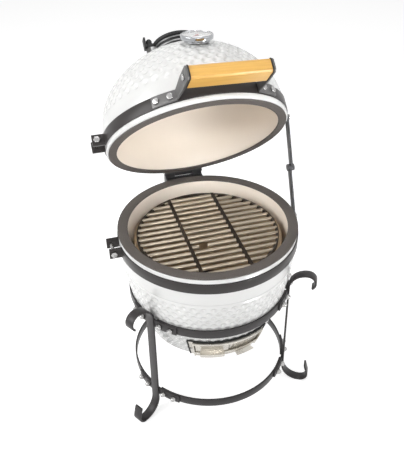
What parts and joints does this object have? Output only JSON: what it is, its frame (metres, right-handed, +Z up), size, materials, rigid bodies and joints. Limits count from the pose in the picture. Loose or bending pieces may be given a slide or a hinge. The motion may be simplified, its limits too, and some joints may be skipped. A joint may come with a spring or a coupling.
{
  "type": "mini kamado grill",
  "caption": "Countertop kamado: dimpled ceramic bowl and hinged dome with clamp bands, folding stay, wooden grip, top vent, sliding draft door and grates, on a scrolled strap-iron stand.",
  "frame": {"origin": "on the bowl's vertical axis at floor level, under the feet", "axes": "+Z up along the bowl's axis, -Y to the front with the draft door, +Y to the lid hinge, +X to the stay"},
  "size_m": [0.372, 0.3935, 0.6971],
  "materials": {
    "glaze": "gloss white dimpled glaze",
    "fireclay": "matt unglazed fireclay",
    "felt": "dark grey felt",
    "band_paint": "charcoal satin paint",
    "hinge_paint": "black satin paint",
    "fastener": "bright steel",
    "stay_steel": "dark grey satin",
    "stand_paint": "dark grey powder coat",
    "bamboo": "satin varnished bamboo",
    "pad": "matt black",
    "bracket_steel": "satin steel",
    "door_steel": "brushed stainless",
    "seal": "matt black",
    "gauge_chrome": "polished chrome",
    "dial_paint": "white dial",
    "pointer_paint": "red",
    "gauge_glass": "clear lens",
    "cast": "black cast iron",
    "grate_steel": "plated steel rod",
    "coal_cast": "rough cast iron"
  },
  "bodies": {
    "base": {"base_shell": "glaze", "base_gasket": "felt", "base_band": "band_paint", "base_band_bolt": "fastener", "hinge_base": "hinge_paint", "hinge_pin": "fastener", "stay_base_stud": "fastener", "fire_bowl": "fireclay", "fire_ring": "fireclay", "draft_frame": "door_steel", "draft_seal": "seal", "draft_screws": "fastener", "leg_left": "stand_paint", "leg_right": "stand_paint", "leg_back": "stand_paint", "upper_arc_front": "stand_paint", "upper_arc_right": "stand_paint", "upper_arc_left": "stand_paint", "lower_arc_front": "stand_paint", "lower_arc_right": "stand_paint", "lower_arc_left": "stand_paint", "stand_bolts": "fastener", "stand_nuts": "fastener"},
    "lid": {"lid_shell": "glaze", "lid_gasket": "felt", "lid_band": "band_paint", "lid_band_bolt": "fastener", "hinge_lid": "hinge_paint", "stay_lid_stud": "fastener", "handle_grip": "bamboo", "handle_pads": "pad", "handle_bracket_left": "bracket_steel", "handle_bracket_right": "bracket_steel", "handle_screws": "fastener", "handle_bolts": "fastener", "gauge_case": "gauge_chrome", "gauge_dial": "dial_paint", "gauge_lens": "gauge_glass", "gauge_probe": "fastener", "gauge_nut": "fastener", "vent_base": "cast", "vent_pivot": "cast"},
    "stay_lower": {"stay_lower": "stay_steel"},
    "stay_upper": {"stay_upper": "stay_steel"},
    "vent_cap": {"vent_cap": "cast", "wheel_stud": "fastener"},
    "vent_wheel": {"vent_wheel": "cast"},
    "gauge_pointer": {"gauge_pointer": "pointer_paint"},
    "draft_door": {"draft_door": "door_steel"},
    "draft_screen": {"draft_screen": "door_steel"},
    "cook_grate": {"cook_grate": "grate_steel"},
    "charcoal_grate": {"charcoal_grate": "coal_cast"}
  },
  "joints": [
    {"name": "lid_hinge", "type": "hinge", "parent": "base", "child": "lid", "pos_m": [0, 0.17605, 0.375], "axis": [1, 0, 0], "range_deg": [0, 49]},
    {"name": "stay_lower_pivot", "type": "hinge", "parent": "base", "child": "stay_lower", "pos_m": [0.16955, 0, 0.3465], "axis": [1, 0, 0], "range_deg": [-54.37, 0]},
    {"name": "stay_upper_pivot", "type": "hinge", "parent": "lid", "child": "stay_upper", "pos_m": [0.17285, 0.07149, 0.51738], "axis": [1, 0, 0], "range_deg": [0, 50.78]},
    {"name": "vent_swing", "type": "hinge", "parent": "lid", "child": "vent_cap", "pos_m": [-0.048, 0.19821, 0.62754], "axis": [0, 0.7547, 0.6561], "range_deg": [0, 100]},
    {"name": "wheel_turn", "type": "hinge", "parent": "vent_cap", "child": "vent_wheel", "pos_m": [0, 0.19821, 0.62754], "axis": [0, 0.7547, 0.6561], "range_deg": [0, 30]},
    {"name": "pointer_turn", "type": "hinge", "parent": "lid", "child": "gauge_pointer", "pos_m": [0.00543, 0.07348, 0.68386], "axis": [0.0292, 0.1223, 0.9921], "range_deg": [-270, 0]},
    {"name": "door_slide", "type": "hinge", "parent": "base", "child": "draft_door", "pos_m": [0, 0, 0.178], "axis": [0, 0, 1], "range_deg": [0, 27]},
    {"name": "screen_slide", "type": "hinge", "parent": "base", "child": "draft_screen", "pos_m": [0, 0, 0.173], "axis": [0, 0, 1], "range_deg": [-27, 0]},
    {"name": "cook_grate_lift", "type": "slide", "parent": "base", "child": "cook_grate", "axis": [0, 0, 1], "range_m": [0, 0.07]},
    {"name": "charcoal_grate_lift", "type": "slide", "parent": "base", "child": "charcoal_grate", "axis": [0, 0, 1], "range_m": [0, 0.06]}
  ],
  "couplings": [
    {"joint": "stay_lower_pivot", "follows": "lid_hinge", "ratio": -1.0994},
    {"joint": "stay_upper_pivot", "follows": "lid_hinge", "ratio": 1.0261}
  ]
}
